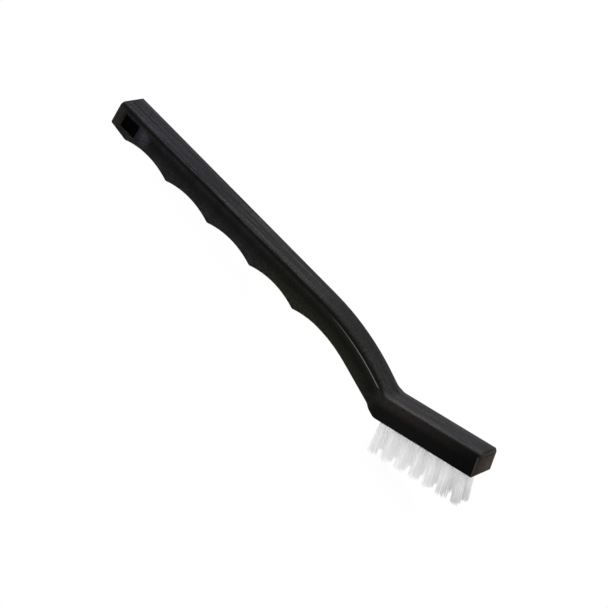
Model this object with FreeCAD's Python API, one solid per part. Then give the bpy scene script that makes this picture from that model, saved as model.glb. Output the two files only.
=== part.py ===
import FreeCAD, Part
import math
import os
import random

# Utility cleaning brush: one moulded handle with a hang slot, finger scallops,
# a cranked neck and a tufted head; tufts of nylon filament held by flat anchors.
#
# The side profile is drawn with +X toward the nose, +Z up and the origin at the
# nose's top edge. The finished pieces are then tipped back into the rest pose
# and moved so that the origin is under the middle of the object.

# head
head_length = 39.8
head_height = 9.1
head_width = 12.1
heel_radius = 3.2

# neck
neck_slope = 37.3
neck_straight = 6.7
neck_bend_radius = 90.0
neck_corner_radius = 3.2
neck_width = 10.2
shoulder_length = 4.3
shoulder_slant = 29.8

# grip
grip_slope = 15.2
grip_length = 105.5
tail_width = 12.9
tail_height = 9.6

# finger scallops on the underside, measured from the tail end
first_peak_at = 8.6
scallop_pitch = 22.5
scallop_count = 4
scallop_rise = 2.1
first_peak_depth = 10.95
last_peak_depth = 11.4
peak_radius = 0.8
under_neck_rise = 2.05
under_neck_radius = 50.0
under_neck_slope = 18.2

# edges
top_edge_radius = 2.0
bottom_edge_bevel = 0.35
nose_edge_bevel = 0.5
tail_edge_bevel = 0.4
parting_step = 0.2
parting_depth = 1.65

# hang slot through the tail, and the dish at its inner end
slot_start = 3.95
slot_length = 7.5
slot_top = 2.5
slot_height = 5.6
slot_corner_radius = 0.4
dish_at = 13.6
dish_below_top = 5.0
dish_radius = 3.3
dish_depth = 0.5

# tufts
tuft_columns = 7
tuft_rows = 2
tuft_pitch = 5.6
row_pitch = 5.0
first_tuft_at = 5.1
hole_diameter = 3.0
hole_depth = 5.5
hole_clearance = 0.05
root_recess = 0.4
root_overlap = 0.5
trim_length = 13.4
root_sides = 12
inner_strands = 5
inner_ring_radius = 0.48
outer_strands = 11
outer_ring_radius = 1.13
strand_size = 0.52
tuft_spread = 1.2
end_lean = 4.0
side_lean = 1.5
tip_unevenness = 0.35
anchor_thickness = 0.3
anchor_width = 2.7
anchor_height = 1.6

# working values: how far cutting shapes run past the body, half the width of
# shapes that cut right across it, and the distance that counts as the same place
overrun = 10.0
reach = head_width + tail_width
same_place = 0.01

V = FreeCAD.Vector


def along(angle, length):
    """Step in the side plane, angle in degrees above +X."""
    a = math.radians(angle)
    return V(length * math.cos(a), 0, length * math.sin(a))


def arc(start, middle, end):
    return Part.Arc(start, middle, end).toShape()


def line(start, end):
    return Part.makeLine(start, end)


# key points of the top of the profile
neck_corner = V(-head_length, 0, 0)
neck_top = neck_corner + along(180 - neck_slope, neck_straight)
bend_centre = neck_top - along(90 - neck_slope, neck_bend_radius)
bend_aim = along(90 - (neck_slope + grip_slope) / 2, 1)
bend_middle = bend_centre + bend_aim * neck_bend_radius
bend_end = bend_centre + along(90 - grip_slope, neck_bend_radius)
tail_top = bend_end + along(180 - grip_slope, grip_length)

grip_axis = along(-grip_slope, 1)
grip_down = along(-90 - grip_slope, 1)

# the outline from above is run down along the shoulders' slant, so its own
# places are found along that slant: the waist of the neck and the tail end
slant = math.tan(math.radians(shoulder_slant))
waist_at = -head_length - shoulder_length
tail_at = tail_top.x - slant * tail_top.z
grip_taper = (tail_width - neck_width) / 2 / (waist_at - tail_at)


def grip_point(station, depth):
    """Point at a station from the tail end and a depth under the grip's top."""
    return tail_top + grip_axis * station + grip_down * depth


def scallop(start, end, rise):
    """Arc between two peaks, hollowed by the rise."""
    chord = end - start
    middle = start + chord * 0.5
    inward = V(-chord.z, 0, chord.x).normalize()
    return arc(start, middle + inward * rise, end)


def side_profile():
    """Closed outline of the handle seen from the side, and the corners to round."""
    peaks = []
    for i in range(scallop_count + 1):
        depth = first_peak_depth + (last_peak_depth - first_peak_depth) * i / scallop_count
        peaks.append(grip_point(first_peak_at + scallop_pitch * i, depth))

    # the long hollow under the neck: down from the last peak, then out to the heel
    last = first_peak_at + scallop_pitch * scallop_count
    radius = (scallop_pitch ** 2 / 4 + under_neck_rise ** 2) / (2 * under_neck_rise)
    half_pitch = scallop_pitch / 2
    valley_depth = last_peak_depth - under_neck_rise
    valley = grip_point(last + half_pitch, valley_depth)
    half = math.asin(half_pitch / radius) / 2
    rising = grip_point(last + half_pitch - radius * math.sin(half),
                        valley_depth + radius * (1 - math.cos(half)))
    out = math.radians(under_neck_slope)
    falling = grip_point(last + half_pitch + under_neck_radius * math.sin(out / 2),
                         valley_depth + under_neck_radius * (1 - math.cos(out / 2)))
    leaving = grip_point(last + half_pitch + under_neck_radius * math.sin(out),
                         valley_depth + under_neck_radius * (1 - math.cos(out)))
    down = grip_slope + under_neck_slope
    heel_drop = leaving.z + head_height
    heel = leaving + along(-down, heel_drop / math.sin(math.radians(down)))

    nose_top = V(0, 0, 0)
    nose_bottom = V(0, 0, -head_height)
    tail_bottom = grip_point(0, tail_height)
    edges = [
        line(nose_top, neck_corner),
        line(neck_corner, neck_top),
        arc(neck_top, bend_middle, bend_end),
        line(bend_end, tail_top),
        line(tail_top, tail_bottom),
        line(tail_bottom, peaks[0]),
    ]
    for a, b in zip(peaks, peaks[1:]):
        edges.append(scallop(a, b, scallop_rise))
    edges += [
        arc(peaks[-1], rising, valley),
        arc(valley, falling, leaving),
        line(leaving, heel),
        line(heel, nose_bottom),
        line(nose_bottom, nose_top),
    ]
    rounding = [(p, peak_radius) for p in peaks]
    rounding += [(heel, heel_radius), (neck_corner, neck_corner_radius)]
    return Part.Wire(edges), rounding


def across(outline):
    """Outline in the side plane, run across past both sides of the handle."""
    face = Part.Face(outline)
    face.translate(V(0, -reach, 0))
    return face.extrude(V(0, 2 * reach, 0))


def plan_solid(inset):
    """Outline from above: the wide head, its shoulders and a grip that widens to the tail.

    The inset narrows the neck and the grip, each side by that much.
    """
    nose_end = overrun
    tail_end = tail_at - overrun
    wide = head_width / 2
    narrow = neck_width / 2 - inset
    end = narrow + grip_taper * (waist_at - tail_end)
    pull = shoulder_length / 2

    outline = [
        line(V(nose_end, -wide, 0), V(nose_end, wide, 0)),
        line(V(tail_end, -end, 0), V(tail_end, end, 0)),
    ]
    for side in (1, -1):
        nose = V(nose_end, side * wide, 0)
        shoulder = V(-head_length, side * wide, 0)
        waist = V(waist_at, side * narrow, 0)
        tail = V(tail_end, side * end, 0)
        waist_pull = V(pull, -side * grip_taper * pull, 0)
        flare = Part.BezierCurve()
        flare.setPoles([shoulder, shoulder - V(pull, 0, 0), waist + waist_pull, waist])
        outline += [line(nose, shoulder), flare.toShape(), line(waist, tail)]
    face = Part.Face(Part.Wire(Part.sortEdges(outline)[0]))
    top = tail_top.z + overrun
    drop = top + head_height + overrun
    face.translate(V(slant * top, 0, top))
    return face.extrude(V(-slant * drop, 0, -drop))


def normal(face, point):
    u, v = face.Surface.parameter(point)
    return face.normalAt(u, v)


def middle(edge):
    return edge.valueAt((edge.FirstParameter + edge.LastParameter) / 2)


def rim(shape, upward):
    """Edges between the side walls and the faces looking up (or down)."""
    sideways = 0.6
    level = 0.4
    straight = 0.1
    found = []
    for edge in shape.Edges:
        point = middle(edge)
        facing = [normal(f, point) for f in shape.ancestorsOfType(edge, Part.Face)]
        wall = [n for n in facing if abs(n.y) > sideways]
        flat = [n for n in facing if n.z * upward > level and abs(n.y) < straight]
        if wall and flat:
            found.append(edge)
    return found


def end_rim(shape, point, axis):
    """Edges that lie in the plane of an end face."""
    found = []
    for edge in shape.Edges:
        ends = [middle(edge)] + [v.Point for v in edge.Vertexes]
        if all(abs((p - point).dot(axis)) < same_place for p in ends):
            found.append(edge)
    return found


def rounded_profile():
    """Side profile run across the width, its corners rounded."""
    outline, rounding = side_profile()
    body = across(outline)
    for corner, radius in rounding:
        edges = []
        for edge in body.Edges:
            point = middle(edge)
            if math.hypot(point.x - corner.x, point.z - corner.z) < same_place:
                edges.append(edge)
        body = body.makeFillet(radius, edges)
    return body


def handle_blank():
    """Handle with all its outer roundings, before the holes."""
    body = rounded_profile().common(plan_solid(0))
    body = body.makeFillet(top_edge_radius, rim(body, 1))
    body = body.makeChamfer(bottom_edge_bevel, rim(body, -1))
    body = body.makeChamfer(nose_edge_bevel, end_rim(body, V(0, 0, 0), V(1, 0, 0)))
    return body.makeChamfer(tail_edge_bevel, end_rim(body, tail_top, grip_axis))


def parting_strips():
    """Thin strips beside the top, cut away to leave the parting step."""
    neck_up = along(90 - neck_slope, 1)
    grip_up = along(90 - grip_slope, 1)
    bend_in = neck_bend_radius - parting_depth
    bend_out = neck_bend_radius + overrun
    past_tail = tail_top - grip_axis * overrun
    low_a = neck_corner - neck_up * parting_depth
    low_b = neck_top - neck_up * parting_depth
    low_c = bend_centre + grip_up * bend_in
    low_d = past_tail - grip_up * parting_depth
    high_a = neck_corner + neck_up * overrun
    high_b = neck_top + neck_up * overrun
    high_c = bend_centre + grip_up * bend_out
    high_d = past_tail + grip_up * overrun
    outline = Part.Wire([
        line(low_a, low_b),
        arc(low_b, bend_centre + bend_aim * bend_in, low_c),
        line(low_c, low_d),
        line(low_d, high_d),
        line(high_d, high_c),
        arc(high_c, bend_centre + bend_aim * bend_out, high_b),
        line(high_b, high_a),
        line(high_a, low_a),
    ])
    return across(outline).cut(plan_solid(parting_step))


def hang_slot():
    """Rounded slot that runs right across the tail."""
    corner = V(slot_start, -reach, -slot_top - slot_height)
    slot = Part.makeBox(slot_length, 2 * reach, slot_height, corner)
    long_edges = [e for e in slot.Edges if abs(e.Vertexes[0].Point.y - e.Vertexes[-1].Point.y) > reach]
    slot = slot.makeFillet(slot_corner_radius, long_edges)
    slot.rotate(V(0, 0, 0), V(0, 1, 0), grip_slope)
    slot.translate(tail_top)
    return slot


def dish(side):
    """Ball that dishes one side of the tail at the slot's inner end."""
    place = grip_point(dish_at, dish_below_top)
    wall = tail_width / 2 - grip_taper * (place.x - slant * place.z - tail_at)
    ball = (dish_radius ** 2 + dish_depth ** 2) / (2 * dish_depth)
    return Part.makeSphere(ball, place + V(0, side * (wall + ball - dish_depth), 0))


def tuft_places():
    """Row, column and centre of every tuft on the head's underside."""
    places = []
    for row in range(tuft_rows):
        for column in range(tuft_columns):
            x = -first_tuft_at - tuft_pitch * column
            y = (row - (tuft_rows - 1) / 2) * row_pitch
            places.append((row, column, V(x, y, -head_height)))
    return places


def handle():
    """Handle with its parting step, hang slot, dishes and tuft holes."""
    body = handle_blank().cut(parting_strips())
    for cutter in (hang_slot(), dish(1), dish(-1)):
        body = body.cut(cutter)
    for row, column, place in tuft_places():
        start = place - V(0, 0, overrun)
        body = body.cut(Part.makeCylinder(hole_diameter / 2, hole_depth + overrun, start))
    return body.removeSplitter()


def polygon(centre, radius, sides, turn):
    """Flat regular face lying level."""
    corners = []
    for k in range(sides + 1):
        a = math.radians(turn) + 2 * math.pi * k / sides
        corners.append(centre + V(radius * math.cos(a), radius * math.sin(a), 0))
    return Part.Face(Part.makePolygon(corners))


def strand_offsets():
    """Places of the strands about the middle of a tuft, in two rings."""
    offsets = []
    for count, radius in ((inner_strands, inner_ring_radius), (outer_strands, outer_ring_radius)):
        for k in range(count):
            a = 2 * math.pi * k / count
            offsets.append(V(radius * math.cos(a), radius * math.sin(a), 0))
    return offsets


def tuft(row, column, place):
    """One tuft: a packed root in its hole, and strands that spread to the tips."""
    dice = random.Random(100 * row + column)
    root_radius = hole_diameter / 2 - hole_clearance
    root_top = place + V(0, 0, hole_depth)
    root = polygon(root_top, root_radius, root_sides, 0).extrude(V(0, 0, root_recess - hole_depth))

    middle_column = (tuft_columns - 1) / 2
    middle_row = (tuft_rows - 1) / 2
    lean = V(math.tan(math.radians(end_lean)) * (middle_column - column) / max(middle_column, 1),
             math.tan(math.radians(side_lean)) * (row - middle_row) / max(middle_row, 0.5), -1)
    start = place + V(0, 0, root_recess + root_overlap)
    strands = []
    for offset in strand_offsets():
        length = trim_length + root_recess + root_overlap - tip_unevenness * dice.random()
        face = polygon(start + offset, strand_size / 2, 4, dice.uniform(0, 90))
        strands.append(face.extrude(offset * (tuft_spread - 1) + lean * length))
    return root.cut(anchor(place)).multiFuse(strands)


def anchor(place):
    """Flat metal anchor at the bottom of a tuft hole."""
    corner = place + V(-anchor_thickness / 2, -anchor_width / 2, hole_depth - anchor_height)
    return Part.makeBox(anchor_thickness, anchor_width, anchor_height, corner)


def rest_pitch(rear_points, front_points):
    """Nose-up angle at which the tail and the rear tufts touch the same floor."""
    low = 0.0
    high = 60.0
    halvings = 40
    for _ in range(halvings):
        pitch = (low + high) / 2
        a = math.radians(pitch)
        rear = min(p.z * math.cos(a) + p.x * math.sin(a) for p in rear_points)
        front = min(p.z * math.cos(a) + p.x * math.sin(a) for p in front_points)
        if rear > front:
            low = pitch
        else:
            high = pitch
    return pitch


grip = handle()
pieces = {"handle": grip}
anchors = []
tip_points = []
for row, column, place in tuft_places():
    brush = tuft(row, column, place)
    pieces["tuft_%d_%d" % (row + 1, column + 1)] = brush
    tip_points += [v.Point for v in brush.Vertexes]
    anchors.append(anchor(place))
pieces["tuft_anchors"] = Part.makeCompound(anchors)

point_spacing = 0.05
grip_points = [p for p in grip.tessellate(point_spacing)[0] if p.x < -head_length]
pitch = rest_pitch(grip_points, tip_points)

for piece in pieces.values():
    piece.rotate(V(0, 0, 0), V(0, 1, 0), -pitch)
box = FreeCAD.BoundBox()
for piece in pieces.values():
    box.add(piece.optimalBoundingBox(False, False))
shift = V(-(box.XMin + box.XMax) / 2, -(box.YMin + box.YMax) / 2, -box.ZMin)

os.makedirs("parts", exist_ok=True)
for name, piece in pieces.items():
    piece.translate(shift)
    piece.exportStep("parts/%s.step" % name)
print("rest pitch %.3f" % pitch, "size", box, "shift", shift)
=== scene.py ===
import math
import random
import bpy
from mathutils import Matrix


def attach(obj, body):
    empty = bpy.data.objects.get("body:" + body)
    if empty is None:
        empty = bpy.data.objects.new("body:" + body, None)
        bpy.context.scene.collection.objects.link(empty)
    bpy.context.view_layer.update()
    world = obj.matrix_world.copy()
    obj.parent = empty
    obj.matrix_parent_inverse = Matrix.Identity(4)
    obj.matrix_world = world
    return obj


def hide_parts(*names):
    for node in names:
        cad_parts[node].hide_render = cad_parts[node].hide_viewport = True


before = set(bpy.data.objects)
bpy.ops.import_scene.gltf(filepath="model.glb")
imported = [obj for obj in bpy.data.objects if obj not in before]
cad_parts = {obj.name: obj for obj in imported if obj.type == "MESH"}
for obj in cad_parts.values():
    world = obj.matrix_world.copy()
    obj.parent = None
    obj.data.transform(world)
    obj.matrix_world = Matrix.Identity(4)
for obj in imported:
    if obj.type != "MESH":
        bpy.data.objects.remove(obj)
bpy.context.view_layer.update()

from types import SimpleNamespace

import bpy
from mathutils import Matrix, Vector

# Utility cleaning brush: the moulded handle keeps its solid and gets a satin black
# plastic, the parting bead is added to it, and every tuft becomes real filaments.
# Drawing lengths are in millimetres in the head's own frame (origin at the nose's
# top edge, +X toward the nose, +Z up); head_point() turns them into the scene's.
# The stretches that the materials use are in metres in the scene's own frame, where
# the brush lies along X from its tail at -0.094 to its nose at 0.091.

MM = 0.001
rest_pitch = math.radians(23.343)
head_origin = Vector((87.6268, 0.0, 36.968))

# the handle's side drawing
head_length = 39.8
head_height = 9.1
neck_slope = math.radians(37.3)
neck_straight = 6.7
neck_bend_radius = 90.0
grip_slope = math.radians(15.2)
grip_length = 105.5
shoulder_length = 4.3
shoulder_slant = math.radians(29.8)
neck_half_width = 5.1
tail_half_width = 6.45
parting_depth = 1.65

# the hang slot and the dish beside it, from the tail's top corner
slot_start = 3.95
slot_length = 7.5
slot_top = 2.5
slot_height = 5.6
dish_at = 13.6
dish_below_top = 5.0
dish_radius = 3.3

# the parting bead
bead_radius = 0.17
bead_sides = 10
bead_start = 3.6
bead_swell = 1.2
bead_tip_share = 0.25
bead_bend_steps = 14
bead_tail_gap = 0.5

# the tufts
tuft_columns = 7
tuft_rows = 2
tuft_pitch = 5.6
row_pitch = 5.0
first_tuft_at = 5.1
trim_length = 13.4
root_in_hole = 3.6
packed_radius = 1.32
filaments_per_tuft = 38
filament_radius = 0.12
filament_sides = 6
filament_bow = 0.10
filament_tip_share = 0.55
filament_kinds = 3
sheaf_kinds = 4
end_tip_spread = 1.42
inner_tip_spread = 1.72
end_lean = math.tan(math.radians(4.0))
side_lean = math.tan(math.radians(1.5))
longest_share = 0.986
trim_scatter = 0.048
tip_drift = 0.16

# the plastic's greys, darkest and palest of each face's mottle
SIDE_DARK = (0.0028, 0.0028, 0.0028, 1.0)
SIDE_PALE = (0.0078, 0.0078, 0.0077, 1.0)
SIDE_OLIVE = (0.0055, 0.0057, 0.0036, 1.0)
SIDE_BROWN = (0.0064, 0.0053, 0.0047, 1.0)
TOP_DARK = (0.0070, 0.0070, 0.0070, 1.0)
TOP_PALE = (0.0330, 0.0330, 0.0328, 1.0)
COOL_DARK = (0.0072, 0.0064, 0.0095, 1.0)
COOL_PALE = (0.0330, 0.0308, 0.0395, 1.0)
FRONT_DARK = (0.0220, 0.0165, 0.0140, 1.0)
FRONT_PALE = (0.0480, 0.0420, 0.0360, 1.0)
TAIL_END_PALE_BROWN = (0.0140, 0.0106, 0.0082, 1.0)
DISH_PAINTED_HIGHLIGHT = (0.0260, 0.0240, 0.0310, 1.0)
GLINT = (0.0240, 0.0220, 0.0205, 1.0)
SLOT_PAINTED_SHADE = (0.0004, 0.0004, 0.0004, 1.0)
BEAD_DULL = ((0.0050, 0.0050, 0.0050, 1.0), (0.0090, 0.0090, 0.0090, 1.0))
BEAD_PAINTED_HIGHLIGHT = ((0.080, 0.080, 0.080, 1.0), (0.150, 0.150, 0.150, 1.0))

# the other tones
NYLON = ((0.972, 0.972, 0.972, 1.0), (0.998, 0.998, 0.998, 1.0))
BRASS = ((0.52, 0.36, 0.13, 1.0), (0.74, 0.56, 0.24, 1.0))
FLOOR = ((0.93, 0.93, 0.93, 1.0), (0.95, 0.95, 0.95, 1.0))
WHITE = (1.0, 1.0, 1.0, 1.0)

# stretches along the brush over which a tone changes
TAIL_COOL = (-0.047, -0.030)
TOP_DIMMER_TO_TAIL = (-0.045, -0.030)
TAIL_STREAKED = (-0.035, -0.015)
BEND_OLIVE = (-0.020, 0.050)
BEND_SHADED = (0.000, 0.018)
BEND_CALM = (0.000, 0.020)
BEAD_HIGHLIGHT_GROWS = (0.016, 0.034)
NECK_PAINTED_LIGHT = (0.026, 0.052)
HEAD_STARTS = (0.045, 0.052)
HEAD_EDGE_HIGHLIGHT_STRONGER = (0.045, 0.055)
HEAD_STREAKED = (0.046, 0.056)
NOSE_DULLS = (0.058, 0.086)
NOSE_PAINTED_REFLECTION_FADES = (0.060, 0.088)
TUFT_TIPS_PAINTED_SHADE = (0.074, 0.092)
FRONT_TUFT_PAINTED_SHADE = (0.0835, 0.0865)

# depths under the grip's top line, then under the head's top
# some of these place painted shade and painted reflection on the sides, front face and tufts
PAINTED_SHADE_ABOVE_PARTING = (0.0012, 0.0016)
UPPER_SIDE_PAINTED_REFLECTION = (0.0018, 0.0035)
LOWER_SIDE_PAINTED_REFLECTION = (0.0045, 0.0085)
FRONT_PAINTED_SHADE_UNDER_TOP = (0.0017, 0.0025)
HEAD_SIDE_PAINTED_REFLECTION = (0.0020, 0.0045)
BRISTLE_TIPS = (0.0155, 0.0215)

# places across the brush, from its middle
FRONT_PAINTED_SHADE_NEAR = (-0.0057, -0.0047)
FRONT_REFLECTION_PALER = (-0.004, 0.006)
TOP_EDGE_PAINTED_HIGHLIGHT = (0.0022, 0.0045)
SLOT_MOUTH = (0.0057, 0.0061)

# parts of a face's outward direction between which it starts to count
FACES_UP = (0.66, 0.97)
FACES_FORWARD = (0.80, 0.90)
FACES_ASIDE = (0.80, 0.95)
BEVEL_FORWARD = (0.5, 0.8)
BEVEL_NEARWARD = (-0.6, -0.5)

# the white room's light on the brush, and the white that is seen behind it
room_light = 1.0
backdrop_light = 1.0

# the camera, as the photograph's own view
camera_place = Vector((0.218217, -0.622668, 0.445377))
camera_right = Vector((0.58703452, 0.58695205, 0.55756413))
camera_up = Vector((-0.76301736, 0.1709813, 0.62335376))
camera_back = Vector((0.27054572, -0.79136128, 0.54822653))
camera_lens = 135.08
film_width = 36.0


def head_turn(vector):
    """A direction in the head's frame, tipped back as the brush rests."""
    c = math.cos(rest_pitch)
    s = math.sin(rest_pitch)
    return Vector((vector.x * c - vector.z * s, vector.y, vector.x * s + vector.z * c))


def head_point(vector):
    """A point in the head's frame in millimetres, as a place in the scene."""
    return (head_turn(vector) + head_origin) * MM


def side_step(angle, length):
    """A step in the side drawing, the angle above +X."""
    return Vector((length * math.cos(angle), 0.0, length * math.sin(angle)))


def wall_at(point, tail_top):
    """Half width of the handle at a point of the side drawing, behind the shoulders."""
    lean = math.tan(shoulder_slant)
    waist = -head_length - shoulder_length
    tail_at = tail_top.x - lean * tail_top.z
    taper = (tail_half_width - neck_half_width) / (waist - tail_at)
    return neck_half_width + taper * (waist - (point.x - lean * point.z))


def neck_corner():
    """Where the head's top line meets the neck's."""
    return Vector((-head_length, 0.0, 0.0))


def bend_centre():
    """Centre of the bend between the neck and the grip."""
    neck_top = neck_corner() + side_step(math.pi - neck_slope, neck_straight)
    return neck_top - side_step(math.pi / 2 - neck_slope, neck_bend_radius)


def tail_corner():
    """The tail's top corner."""
    bend_end = bend_centre() + side_step(math.pi / 2 - grip_slope, neck_bend_radius)
    return bend_end + side_step(math.pi - grip_slope, grip_length)


def parting_line():
    """Points of the parting line in the side drawing, from the neck to the tail."""
    up_neck = math.pi - neck_slope
    start = neck_corner() + side_step(-neck_slope - math.pi / 2, parting_depth)
    points = [start + side_step(up_neck, bead_start),
              start + side_step(up_neck, bead_start + bead_swell)]
    centre = bend_centre()
    for step in range(bead_bend_steps + 1):
        slope = neck_slope + (grip_slope - neck_slope) * step / bead_bend_steps
        points.append(centre + side_step(math.pi / 2 - slope, neck_bend_radius - parting_depth))
    points.append(points[-1] + side_step(math.pi - grip_slope, grip_length - bead_tail_gap))
    return points


def grip_place(point):
    """A point of the side drawing as its lengths along and above the grip, in metres."""
    place = head_point(point)
    place.rotate(Matrix.Rotation(rest_pitch - grip_slope, 3, 'Y'))
    return place.x, place.z


def deselect():
    bpy.ops.object.select_all(action='DESELECT')


def choose(piece):
    """Only this piece selected and active."""
    deselect()
    piece.select_set(True)
    bpy.context.view_layer.objects.active = piece


def edit(piece):
    choose(piece)
    bpy.ops.object.mode_set(mode='EDIT')


def leave_edit():
    bpy.ops.object.mode_set(mode='OBJECT')


def apply_place(piece):
    choose(piece)
    bpy.ops.object.transform_apply(location=True, rotation=True, scale=True)


def face_outward(piece):
    edit(piece)
    bpy.ops.mesh.select_all(action='SELECT')
    bpy.ops.mesh.normals_make_consistent(inside=False)
    leave_edit()


def smooth(piece, angle):
    choose(piece)
    bpy.ops.object.shade_smooth_by_angle(angle=math.radians(angle))


# material building blocks

def new_material(name):
    """A new node material with its tree and its surface shader."""
    material = bpy.data.materials.new(name)
    material.use_nodes = True
    tree = material.node_tree
    return material, tree, tree.nodes["Principled BSDF"]


def add(tree, kind, **inputs):
    """A node with its inputs set by name, an underscore for each space."""
    node = tree.nodes.new(kind)
    for key, value in inputs.items():
        node.inputs[key.replace("_", " ")].default_value = value
    return node


def object_grid(tree, scale=(1.0, 1.0, 1.0), turn=0.0):
    """Object coordinates, turned about the brush's width and then stretched."""
    place = tree.nodes.new("ShaderNodeTexCoord")
    mapping = tree.nodes.new("ShaderNodeMapping")
    mapping.vector_type = 'TEXTURE'
    mapping.inputs["Rotation"].default_value = (0.0, -turn, 0.0)
    mapping.inputs["Scale"].default_value = [1.0 / s for s in scale]
    tree.links.new(place.outputs["Object"], mapping.inputs["Vector"])
    return mapping.outputs["Vector"]


def noise(tree, vector, scale, detail, roughness):
    node = add(tree, "ShaderNodeTexNoise", Scale=scale, Detail=detail, Roughness=roughness)
    tree.links.new(vector, node.inputs["Vector"])
    return node.outputs["Fac"]


def spread(tree, value, low, high, to_low, to_high):
    """A value stretched from one range to another, and kept inside it."""
    node = tree.nodes.new("ShaderNodeMapRange")
    node.inputs["From Min"].default_value = low
    node.inputs["From Max"].default_value = high
    node.inputs["To Min"].default_value = to_low
    node.inputs["To Max"].default_value = to_high
    tree.links.new(value, node.inputs["Value"])
    return node.outputs["Result"]


def math_node(tree, operation, *values):
    """An operation on one or two values, each a number or a socket."""
    node = tree.nodes.new("ShaderNodeMath")
    node.operation = operation
    for socket, value in zip(node.inputs, values):
        if isinstance(value, (int, float)):
            socket.default_value = value
        else:
            tree.links.new(value, socket)
    return node.outputs[0]


def product(tree, first, *others):
    """Several values multiplied together."""
    for value in others:
        first = math_node(tree, 'MULTIPLY', first, value)
    return first


def total(tree, first, *others):
    """Several values added together."""
    for value in others:
        first = math_node(tree, 'ADD', first, value)
    return first


def distance(tree, first, second):
    """Length of the slanting side over two square ones."""
    squares = total(tree, product(tree, first, first), product(tree, second, second))
    return math_node(tree, 'SQRT', squares)


def band(tree, value, low, high, soft):
    """One between two limits, nothing beyond them, with soft ends."""
    return product(tree, spread(tree, value, low, low + soft, 0.0, 1.0),
                   spread(tree, value, high - soft, high, 1.0, 0.0))


def axes(tree, vector):
    """A vector's three parts."""
    parts = tree.nodes.new("ShaderNodeSeparateXYZ")
    tree.links.new(vector, parts.inputs["Vector"])
    return parts.outputs["X"], parts.outputs["Y"], parts.outputs["Z"]


def mix_colour(tree, factor, first, second):
    """One colour turning into another, each a tuple or a socket."""
    node = tree.nodes.new("ShaderNodeMix")
    node.data_type = 'RGBA'
    tree.links.new(factor, node.inputs["Factor"])
    for name, value in (("A", first), ("B", second)):
        socket = [s for s in node.inputs if s.name == name and s.type == 'RGBA'][0]
        if isinstance(value, tuple):
            socket.default_value = value
        else:
            tree.links.new(value, socket)
    return [s for s in node.outputs if s.type == 'RGBA'][0]


def scaled(tree, colour, factor):
    """A colour made darker or paler by a factor."""
    node = tree.nodes.new("ShaderNodeVectorMath")
    node.operation = 'SCALE'
    tree.links.new(colour, node.inputs[0])
    tree.links.new(factor, node.inputs["Scale"])
    return node.outputs[0]


def bump(tree, height, strength, rise, after=None):
    """A surface raised by a pattern, over another bump where one is given."""
    node = add(tree, "ShaderNodeBump", Strength=strength, Distance=rise)
    tree.links.new(height, node.inputs["Height"])
    if after is not None:
        tree.links.new(after, node.inputs["Normal"])
    return node.outputs["Normal"]


def mix_surfaces(tree, share, first, second, output):
    """Two shaders mixed into an output, the share being the second one's."""
    mixer = tree.nodes.new("ShaderNodeMixShader")
    if isinstance(share, float):
        mixer.inputs[0].default_value = share
    else:
        tree.links.new(share, mixer.inputs[0])
    tree.links.new(first.outputs[0], mixer.inputs[1])
    tree.links.new(second.outputs[0], mixer.inputs[2])
    tree.links.new(mixer.outputs[0], output.inputs["Surface"])


def depth_under_top(tree):
    """Depth below the top line of grip and bend, and lengths along and above the grip."""
    centre_along, centre_above = grip_place(bend_centre())
    along, _, above = axes(tree, object_grid(tree, turn=rest_pitch - grip_slope))
    ahead = math_node(tree, 'MAXIMUM', math_node(tree, 'SUBTRACT', along, centre_along), 0.0)
    up = math_node(tree, 'SUBTRACT', above, centre_above)
    reach = distance(tree, ahead, up)
    return math_node(tree, 'SUBTRACT', neck_bend_radius * MM, reach), along, above


def depth_under_head(tree):
    """Depth below the head's flat top."""
    _, _, above = axes(tree, object_grid(tree, turn=rest_pitch))
    top = head_origin.copy()
    top.rotate(Matrix.Rotation(rest_pitch, 3, 'Y'))
    return math_node(tree, 'SUBTRACT', top.z * MM, above)


# the handle's plastic

def surface_places(tree, grid):
    """Where a spot of the handle lies and which way it faces, as sockets to build tones on."""
    length, width, _ = axes(tree, grid)
    depth, along, above = depth_under_top(tree)
    facing = tree.nodes.new("ShaderNodeTexCoord")
    nx, ny, nz = axes(tree, facing.outputs["Normal"])
    return SimpleNamespace(
        length=length, width=width, beside=math_node(tree, 'ABSOLUTE', width),
        depth=depth, along=along, above=above, head_depth=depth_under_head(tree),
        on_head=spread(tree, length, *HEAD_STARTS, 0.0, 1.0), nx=nx, ny=ny,
        upward=spread(tree, nz, *FACES_UP, 0.0, 1.0),
        forward=spread(tree, nx, *FACES_FORWARD, 0.0, 1.0),
        aside=spread(tree, math_node(tree, 'ABSOLUTE', ny), *FACES_ASIDE, 0.0, 1.0))


def slot_mask(tree, at, tail_end, top_height):
    """One inside the hang slot, nothing on the faces round it."""
    start = tail_end + slot_start * MM
    end = start + slot_length * MM
    ceiling = top_height - slot_top * MM
    sill = ceiling - slot_height * MM
    blur = 0.0003
    return product(tree, band(tree, at.along, start - blur, end + blur, blur / 2),
                   band(tree, at.above, sill - blur, ceiling + blur, blur / 2),
                   spread(tree, at.beside, *SLOT_MOUTH, 1.0, 0.0))


def dish_highlight_mask(tree, at, tail_end, top_height):
    """A painted highlight in the dish, a little ahead of its middle and above it."""
    highlight_along = tail_end + dish_at * MM + 0.0012
    highlight_above = top_height - dish_below_top * MM + 0.0004
    off = distance(tree, math_node(tree, 'SUBTRACT', at.along, highlight_along),
                   math_node(tree, 'SUBTRACT', at.above, highlight_above))
    radius = dish_radius * MM
    return product(tree, spread(tree, off, radius * 0.2, radius * 1.2, 0.8, 0.0), at.aside)


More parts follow.
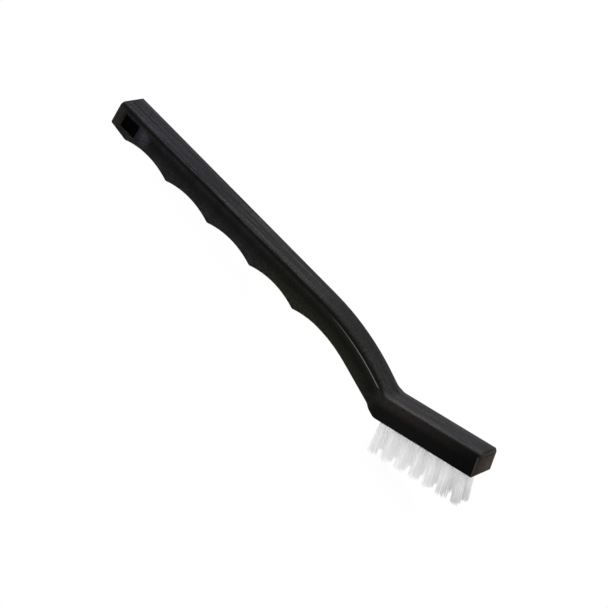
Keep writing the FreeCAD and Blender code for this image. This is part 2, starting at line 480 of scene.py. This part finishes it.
def side_colour(tree, at, mottle):
    """Sides: olive round the bend, brown on the head, with painted reflection and shade down each.
    """
    tone = mix_colour(tree, spread(tree, mottle, 0.32, 0.68, 0.0, 1.0), SIDE_DARK, SIDE_PALE)
    tone = mix_colour(tree, band(tree, at.length, *BEND_OLIVE, 0.015), tone, SIDE_OLIVE)
    tone = mix_colour(tree, at.on_head, tone, SIDE_BROWN)
    # painted reflection: paler low on the grip's sides and just under the parting step
    grip_side_painted_light = total(tree, spread(tree, at.depth, *LOWER_SIDE_PAINTED_REFLECTION, 0.45, 1.70),
                      spread(tree, at.depth, *UPPER_SIDE_PAINTED_REFLECTION, 0.7, 0.0))
    # painted shade on the rounded edge just above the parting step
    grip_side_painted_light = product(tree, grip_side_painted_light, spread(tree, at.depth, *PAINTED_SHADE_ABOVE_PARTING, 0.35, 1.0),
                        spread(tree, at.length, *HEAD_STARTS, 1.0, 0.0))
    # painted reflection on the head's sides, paler toward the top and fading toward the nose
    head_side_painted_light = product(tree, spread(tree, at.head_depth, *HEAD_SIDE_PAINTED_REFLECTION, 1.7, 0.3),
                        spread(tree, at.length, *NOSE_PAINTED_REFLECTION_FADES, 1.0, 0.1), at.on_head)
    return scaled(tree, tone, total(tree, grip_side_painted_light, head_side_painted_light))


def top_colour(tree, at, streaks, drift):
    """Top: flow streaks, calm and painted shaded on the bend, cool and dimmer by the tail, painted
    edge highlights.
    """
    strength = total(tree, spread(tree, at.length, *BEND_CALM, 1.0, 0.35),
                     spread(tree, at.length, *HEAD_STREAKED, 0.0, 1.0),
                     spread(tree, at.length, *TAIL_STREAKED, 0.9, 0.0))
    flow = product(tree, spread(tree, streaks, 0.36, 0.64, -0.5, 0.5), strength)
    flow = spread(tree, flow, -0.5, 0.5, 0.0, 1.0)
    patches = product(tree, at.on_head, spread(tree, drift, 0.45, 0.60, 0.0, 0.8))
    cool = math_node(tree, 'MAXIMUM', spread(tree, at.length, *TAIL_COOL, 1.0, 0.0), patches)
    tone = mix_colour(tree, cool, mix_colour(tree, flow, TOP_DARK, TOP_PALE),
                      mix_colour(tree, flow, COOL_DARK, COOL_PALE))
    middle = spread(tree, at.length, *TOP_DIMMER_TO_TAIL, 0.55, 0.85)
    # painted highlights along both edges of the top, stronger on the head
    edge_highlights = product(tree, spread(tree, at.beside, *TOP_EDGE_PAINTED_HIGHLIGHT, 0.0, 1.0),
                    spread(tree, at.length, *HEAD_EDGE_HIGHLIGHT_STRONGER, 0.45, 0.95))
    # painted shade over the bend, with painted light rising again toward the neck and head
    shade = total(tree, spread(tree, at.length, *BEND_SHADED, 0.95, 0.58),
                  spread(tree, at.length, *NECK_PAINTED_LIGHT, 0.0, 0.34))
    return scaled(tree, tone, product(tree, total(tree, middle, edge_highlights), shade))


def front_colour(tree, at):
    """Front end face: brown, painted reflection paler to the far side, painted shade by two edges.
    """
    # painted reflection, paler toward the far side
    tone = mix_colour(tree, spread(tree, at.width, *FRONT_REFLECTION_PALER, 0.0, 1.0),
                      FRONT_DARK, FRONT_PALE)
    soft = 0.0003
    # painted shade along the near edge and under the top edge
    edge_shade_line = math_node(tree, 'MAXIMUM', band(tree, at.width, *FRONT_PAINTED_SHADE_NEAR, soft),
                           band(tree, at.head_depth, *FRONT_PAINTED_SHADE_UNDER_TOP, soft))
    return scaled(tree, tone, spread(tree, edge_shade_line, 0.0, 1.0, 0.98, 0.45))


def speckle(tree, at, grain):
    """Fine specks, calmer on the head but for its front face."""
    grip_grain = spread(tree, grain, 0.34, 0.66, 0.35, 1.65)
    head_grain = spread(tree, grain, 0.34, 0.66, 0.60, 1.40)
    calmer = math_node(tree, 'SUBTRACT', head_grain, grip_grain)
    where = math_node(tree, 'SUBTRACT', at.on_head, at.forward)
    return total(tree, grip_grain, product(tree, calmer, where))


def plastic_roughness(tree, at, mottle, streaks, slot):
    """Uneven satin, dull on the front face and in the slot, duller along the nose's sides."""
    satin = spread(tree, mottle, 0.3, 0.7, 0.32, 0.42)
    brushed = product(tree, spread(tree, streaks, 0.3, 0.7, 0.0, 0.12), at.upward)
    dull = product(tree, math_node(tree, 'MAXIMUM', at.forward, slot), 0.5)
    nose_sides = product(tree, spread(tree, at.length, *NOSE_DULLS, 0.0, 0.35), at.aside)
    return total(tree, satin, brushed, dull, nose_sides)


def satin_black_plastic():
    """Moulded black plastic: flow streaks along the brush, a soft mottle and fine specks.

    The sides, the top and the front face each have a tone of their own, with painted light and
    shade in them. Over them lie a pale brown band on the sides by the tail end, the dish's painted
    highlight, the painted glint on the nose's near edge and the painted shade in the slot.
    """
    material, tree, shader = new_material("satin_black_plastic")
    grid = object_grid(tree)
    streaks = noise(tree, object_grid(tree, (30.0, 1150.0, 30.0)), 1.0, 3.0, 0.7)
    mottle = noise(tree, grid, 170.0, 4.0, 0.6)
    grain = noise(tree, grid, 1700.0, 3.0, 0.65)
    drift = noise(tree, grid, 60.0, 1.0, 0.5)

    at = surface_places(tree, grid)
    tail_end, top_height = grip_place(tail_corner())
    slot = slot_mask(tree, at, tail_end, top_height)
    dish_highlight = dish_highlight_mask(tree, at, tail_end, top_height)
    # a paler brown band on the sides by the tail end
    tail_end_pale = product(tree, spread(tree, at.along, tail_end + 0.0015,
                                 tail_end + slot_start * MM, 1.0, 0.0), at.aside)
    # a painted glint on the narrow bevel between the front face and the near side
    glint = product(tree, band(tree, at.nx, *BEVEL_FORWARD, 0.05),
                    spread(tree, at.ny, *BEVEL_NEARWARD, 1.0, 0.0))

    # top faces take the paler top colour, partly a grainier finish and partly painted light from
    # above
    colour = mix_colour(tree, at.upward, side_colour(tree, at, mottle),
                        top_colour(tree, at, streaks, drift))
    colour = mix_colour(tree, at.forward, colour, front_colour(tree, at))
    colour = mix_colour(tree, tail_end_pale, colour, TAIL_END_PALE_BROWN)
    # painted highlight in the dish
    colour = mix_colour(tree, dish_highlight, colour, DISH_PAINTED_HIGHLIGHT)
    colour = scaled(tree, colour, speckle(tree, at, grain))
    colour = mix_colour(tree, glint, colour, GLINT)
    # painted shade inside the hang slot
    colour = mix_colour(tree, slot, colour, SLOT_PAINTED_SHADE)
    tree.links.new(colour, shader.inputs["Base Color"])

    rough = plastic_roughness(tree, at, mottle, streaks, slot)
    tree.links.new(rough, shader.inputs["Roughness"])
    shader.inputs["Specular IOR Level"].default_value = 0.045

    waves = bump(tree, mottle, 0.30, 0.00012)
    lines = bump(tree, streaks, 0.50, 0.00010, waves)
    tree.links.new(bump(tree, grain, 0.50, 0.00008, lines), shader.inputs["Normal"])
    return material


# the other materials

def bead_black():
    """The parting bead's plastic: smoother and with a painted highlight near the neck, dull toward
    the tail.
    """
    material, tree, shader = new_material("parting_bead_black")
    grid = object_grid(tree)
    length, _, _ = axes(tree, grid)
    near_neck = spread(tree, length, *BEAD_HIGHLIGHT_GROWS, 0.0, 1.0)
    tone = noise(tree, grid, 700.0, 3.0, 0.6)
    # painted highlight along the bead near the neck
    colour = mix_colour(tree, near_neck, mix_colour(tree, tone, *BEAD_DULL),
                        mix_colour(tree, tone, *BEAD_PAINTED_HIGHLIGHT))
    tree.links.new(colour, shader.inputs["Base Color"])
    rough = math_node(tree, 'SUBTRACT', spread(tree, tone, 0.3, 0.7, 0.62, 0.70),
                      product(tree, near_neck, 0.25))
    tree.links.new(rough, shader.inputs["Roughness"])
    shader.inputs["Specular IOR Level"].default_value = 0.05
    return material


def white_nylon():
    """Milky white filament, mostly seen through, its tone changing by strand.

    Painted shade makes the tips duskier than the roots, more so toward the nose, and the front
    tuft duskier all over.
    """
    material, tree, shader = new_material("white_nylon_filament")
    strand_grid = object_grid(tree, (1800.0, 1800.0, 90.0), rest_pitch)
    tone = noise(tree, strand_grid, 1.0, 2.0, 0.5)
    colour = mix_colour(tree, spread(tree, tone, 0.35, 0.65, 0.0, 1.0), *NYLON)
    length, _, _ = axes(tree, object_grid(tree))
    # painted shade on the tips toward the nose, and on the front tuft all over
    tipward = spread(tree, depth_under_head(tree), *BRISTLE_TIPS, 0.0, 1.0)
    noseward = spread(tree, length, *TUFT_TIPS_PAINTED_SHADE, 0.048, 0.095)
    front_tuft = spread(tree, length, *FRONT_TUFT_PAINTED_SHADE, 0.0, 0.036)
    painted_dusk = total(tree, product(tree, tipward, noseward), front_tuft)
    colour = scaled(tree, colour, math_node(tree, 'SUBTRACT', 1.0, painted_dusk))
    tree.links.new(colour, shader.inputs["Base Color"])
    tree.links.new(spread(tree, tone, 0.3, 0.7, 0.35, 0.5), shader.inputs["Roughness"])
    shader.inputs["Specular IOR Level"].default_value = 0.25
    seen_through = tree.nodes.new("ShaderNodeBsdfTranslucent")
    tree.links.new(colour, seen_through.inputs["Color"])
    mix_surfaces(tree, 0.92, shader, seen_through, tree.nodes["Material Output"])
    return material


def stamped_brass():
    """Drawn brass wire cut into flat anchors, slightly dulled."""
    material, tree, shader = new_material("stamped_brass")
    grid = object_grid(tree, (300.0, 4000.0, 4000.0), rest_pitch)
    lines = noise(tree, grid, 1.0, 3.0, 0.6)
    tree.links.new(mix_colour(tree, lines, *BRASS), shader.inputs["Base Color"])
    tree.links.new(spread(tree, lines, 0.3, 0.7, 0.28, 0.45), shader.inputs["Roughness"])
    shader.inputs["Metallic"].default_value = 1.0
    return material


def seen_directly(tree):
    """One for camera, mirror and glass rays, nothing for the rest."""
    path = tree.nodes.new("ShaderNodeLightPath")
    both = math_node(tree, 'MAXIMUM', path.outputs["Is Camera Ray"], path.outputs["Is Glossy Ray"])
    return math_node(tree, 'MAXIMUM', both, path.outputs["Is Transmission Ray"])


def white_floor_material():
    """White floor: what is seen of it is nearly plain white, less so in the brush's shadow."""
    material, tree, shader = new_material("white_floor")
    grid = object_grid(tree)
    tone = noise(tree, grid, 6.0, 2.0, 0.5)
    tree.links.new(mix_colour(tree, tone, *FLOOR), shader.inputs["Base Color"])
    shader.inputs["Roughness"].default_value = 0.9
    shader.inputs["Specular IOR Level"].default_value = 0.0
    glow = add(tree, "ShaderNodeEmission", Color=WHITE, Strength=backdrop_light)
    east, north, _ = axes(tree, grid)
    shadow_at = 0.080
    away = distance(tree, math_node(tree, 'SUBTRACT', east, shadow_at), north)
    plain = product(tree, seen_directly(tree), spread(tree, away, 0.012, 0.028, 0.88, 0.985))
    mix_surfaces(tree, plain, shader, glow, tree.nodes["Material Output"])
    return material


# pieces

def dress(node, material):
    """A CAD node's own material slots filled with a better finish."""
    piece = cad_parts[node]
    if not piece.material_slots:
        piece.data.materials.append(material)
    for slot in piece.material_slots:
        slot.material = material


def parting_bead(side, material):
    """Thin bead along the edge of the parting step, drawn out from a fine tip at the neck."""
    tail_top = tail_corner()
    places = []
    for point in parting_line():
        y = side * (wall_at(point, tail_top) - bead_radius)
        places.append(head_point(Vector((point.x, y, point.z))))
    deselect()
    first = places[1] - places[0]
    turn = first.to_track_quat('Z', 'Y').to_euler()
    bpy.ops.mesh.primitive_circle_add(vertices=bead_sides,
                                      radius=bead_radius * MM * bead_tip_share,
                                      fill_type='NGON', location=places[0], rotation=turn)
    piece = bpy.context.active_object
    piece.name = "parting_bead_near" if side < 0 else "parting_bead_far"
    apply_place(piece)
    edit(piece)
    bpy.ops.mesh.select_all(action='SELECT')
    for before, after in zip(places, places[1:]):
        bpy.ops.mesh.extrude_region_move(TRANSFORM_OT_translate={"value": after - before})
        if before is places[0]:
            swell = 1.0 / bead_tip_share
            bpy.ops.transform.resize(value=(swell, swell, swell))
    leave_edit()
    face_outward(piece)
    smooth(piece, 60)
    piece.data.materials.append(material)
    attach(piece, "root")


def filament(dice):
    """One filament hanging from the origin, with a slight bow and a rounded tip."""
    deselect()
    bpy.ops.mesh.primitive_circle_add(vertices=filament_sides, radius=filament_radius * MM,
                                      fill_type='NGON')
    piece = bpy.context.active_object
    edit(piece)
    bpy.ops.mesh.select_all(action='SELECT')
    bow = dice.uniform(-filament_bow, filament_bow) * MM
    # each run's length down the filament and its step aside
    runs = ((root_in_hole, 0.0), (trim_length * 0.4, bow), (trim_length * 0.3, -bow * 0.4),
            (trim_length * 0.28, -bow), (trim_length * 0.02, 0.0))
    for length, aside in runs:
        step = (aside, 0.0, -length * MM)
        bpy.ops.mesh.extrude_region_move(TRANSFORM_OT_translate={"value": step})
    bpy.ops.transform.resize(value=(filament_tip_share, filament_tip_share, 1.0))
    leave_edit()
    return piece


def sheaf(number):
    """A packed bundle of filaments, hanging from its root at the origin."""
    dice = random.Random(400 + number)
    kinds = [filament(dice) for _ in range(filament_kinds)]
    strands = []
    golden = math.pi * (3.0 - math.sqrt(5.0))
    for k in range(filaments_per_tuft):
        radius = packed_radius * math.sqrt((k + 0.5) / filaments_per_tuft)
        angle = k * golden
        strand = kinds[k % len(kinds)].copy()
        strand.data = strand.data.copy()
        strand.location = Vector((radius * math.cos(angle), radius * math.sin(angle), 0.0)) * MM
        strand.rotation_euler = (0.0, 0.0, dice.uniform(0.0, 2 * math.pi))
        bpy.context.collection.objects.link(strand)
        strands.append(strand)
    deselect()
    for strand in strands:
        strand.select_set(True)
    bpy.context.view_layer.objects.active = strands[0]
    bpy.ops.object.join()
    bundle = bpy.context.active_object
    bundle.name = "sheaf_%d" % number
    apply_place(bundle)
    for kind in kinds:
        bpy.data.objects.remove(kind)
    return bundle


def splay(piece, lean, tip_spread, dice):
    """Opens the free part of a bundle toward its tips, leans it and leaves its tips uneven."""
    vertices = piece.data.vertices
    per_strand = len(vertices) // filaments_per_tuft
    for strand in range(filaments_per_tuft):
        own = [vertices[strand * per_strand + i] for i in range(per_strand)]
        root = sum((v.co for v in own[:filament_sides]), Vector()) / filament_sides
        outward = root.xy / (packed_radius * MM)
        shorter = longest_share - dice.random() ** 2 * trim_scatter
        drift = Vector((dice.uniform(-1, 1), dice.uniform(-1, 1))) * tip_drift * MM
        for v in own:
            free = -v.co.z - root_in_hole * MM
            if free > 0:
                free *= shorter
                share = free / (trim_length * MM)
                wide = outward * packed_radius * MM * (tip_spread - 1) * share ** 0.5
                v.co.x += wide.x + lean.x * free + drift.x * share
                v.co.y += wide.y + lean.y * free + drift.y * share
                v.co.z = -root_in_hole * MM - free


def tuft(row, column, bundle, material):
    """A bundle copied into its hole, splayed and tipped with the head."""
    dice = random.Random(50 * row + column)
    piece = bundle.copy()
    piece.data = bundle.data.copy()
    piece.name = "bristles_%d_%d" % (row + 1, column + 1)
    bpy.context.collection.objects.link(piece)
    choose(piece)
    bpy.ops.transform.rotate(value=dice.uniform(0, 2 * math.pi), orient_axis='Z',
                             center_override=(0.0, 0.0, 0.0))
    apply_place(piece)
    middle_column = (tuft_columns - 1) / 2
    middle_row = (tuft_rows - 1) / 2
    lean = Vector((end_lean * (middle_column - column) / middle_column,
                   side_lean * (row - middle_row)))
    at_end = column in (0, tuft_columns - 1)
    splay(piece, lean, end_tip_spread if at_end else inner_tip_spread, dice)
    hole = Vector((-first_tuft_at - tuft_pitch * column, (row - middle_row) * row_pitch,
                   root_in_hole - head_height))
    tip_back = Matrix.Rotation(-rest_pitch, 4, 'Y')
    piece.matrix_world = Matrix.Translation(head_point(hole)) @ tip_back
    apply_place(piece)
    face_outward(piece)
    smooth(piece, 50)
    piece.data.materials.append(material)
    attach(piece, "root")
    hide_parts("tuft_%d_%d" % (row + 1, column + 1))


# the studio

def floor():
    deselect()
    bpy.ops.mesh.primitive_circle_add(vertices=96, radius=4.0, fill_type='NGON',
                                      location=(0.0, 0.0, 0.0))
    ground = bpy.context.active_object
    ground.name = "studio_floor"
    ground.data.materials.append(white_floor_material())


def soft_lamp(name, place, size, power):
    """A large square lamp aimed at the brush."""
    light = bpy.data.lights.new(name, 'AREA')
    light.shape = 'SQUARE'
    light.size = size
    light.energy = power
    lamp = bpy.data.objects.new(name, light)
    lamp.location = place
    lamp.rotation_euler = (-Vector(place)).to_track_quat('-Z', 'Y').to_euler()
    bpy.context.collection.objects.link(lamp)


def studio():
    """Even white room light, a large soft lamp high at the tail's side and a weak one in front."""
    world = bpy.data.worlds.new("studio_world")
    bpy.context.scene.world = world
    world.use_nodes = True
    tree = world.node_tree
    tree.nodes.clear()
    room = add(tree, "ShaderNodeBackground", Color=WHITE, Strength=room_light)
    backdrop = add(tree, "ShaderNodeBackground", Color=WHITE, Strength=backdrop_light)
    out = tree.nodes.new("ShaderNodeOutputWorld")
    mix_surfaces(tree, seen_directly(tree), room, backdrop, out)
    soft_lamp("key_lamp", (-0.95, 0.21, 0.79), 0.7, 8.0)
    soft_lamp("front_lamp", (0.5, -1.1, 0.6), 0.8, 4.0)


def photo_camera():
    data = bpy.data.cameras.new("photo_camera")
    data.sensor_fit = 'HORIZONTAL'
    data.sensor_width = film_width
    data.lens = camera_lens
    data.clip_start = 0.01
    data.clip_end = 20.0
    camera = bpy.data.objects.new("photo_camera", data)
    turn = Matrix((camera_right, camera_up, camera_back)).transposed().to_4x4()
    camera.matrix_world = Matrix.Translation(camera_place) @ turn
    bpy.context.collection.objects.link(camera)
    bpy.context.scene.camera = camera


black = satin_black_plastic()
nylon = white_nylon()
dress("handle", black)
dress("tuft_anchors", stamped_brass())
bead_plastic = bead_black()
for side in (-1, 1):
    parting_bead(side, bead_plastic)

bundles = [sheaf(number) for number in range(sheaf_kinds)]
for row in range(tuft_rows):
    for column in range(tuft_columns):
        bundle = bundles[(row * tuft_columns + column * 3) % sheaf_kinds]
        tuft(row, column, bundle, nylon)
for bundle in bundles:
    bpy.data.objects.remove(bundle)

floor()
studio()
photo_camera()
bpy.context.scene.view_settings.view_transform = 'Standard'
